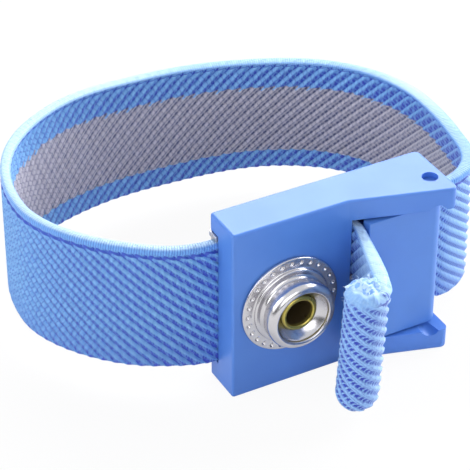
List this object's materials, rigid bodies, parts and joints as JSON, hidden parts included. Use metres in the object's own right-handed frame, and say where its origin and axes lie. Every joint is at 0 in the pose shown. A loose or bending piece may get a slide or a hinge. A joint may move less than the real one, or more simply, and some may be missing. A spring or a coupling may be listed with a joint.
{
  "type": "esd wrist strap",
  "caption": "Adjustable woven elastic wrist strap with a conductive inner stripe, a moulded cam-lever buckle and a ring snap stud for an earthing cord.",
  "frame": {"origin": "on the snap stud's axis, in the middle of its gripping land", "axes": "-Y out of the stud, towards the cord's snap; +X along the buckle towards the clamp; +Z along the forearm, upright in use on a table"},
  "size_m": [0.0652, 0.0629, 0.027],
  "materials": {
    "moulded_plastic": "fine satin mould finish, light blue",
    "lever_plastic": "fine satin mould finish, light blue",
    "stainless_steel": "stamped stainless sheet, lightly brushed",
    "plated_stud": "bright nickel plate",
    "eyelet_brass": "plain rolled brass",
    "woven_elastic": "ribbed woven elastic, bright blue",
    "conductive_yarn": "warm grey conductive yarn, twill ribs"
  },
  "bodies": {
    "buckle": {"housing": "moulded_plastic", "back_plate": "stainless_steel", "snap_stud": "plated_stud", "eyelet": "eyelet_brass", "band_fixed_end": "woven_elastic", "band_loop": "woven_elastic", "band_clamped_run": "woven_elastic", "band_free_end": "woven_elastic", "band_hem": "woven_elastic", "conductive_stripe": "conductive_yarn"},
    "lever": {"cam_lever": "lever_plastic"}
  },
  "joints": [
    {"name": "lever_hinge", "type": "hinge", "parent": "buckle", "child": "lever", "pos_m": [0.02168, 0.0027, 0], "axis": [0, 0, 1], "range_deg": [0, 100]}
  ]
}
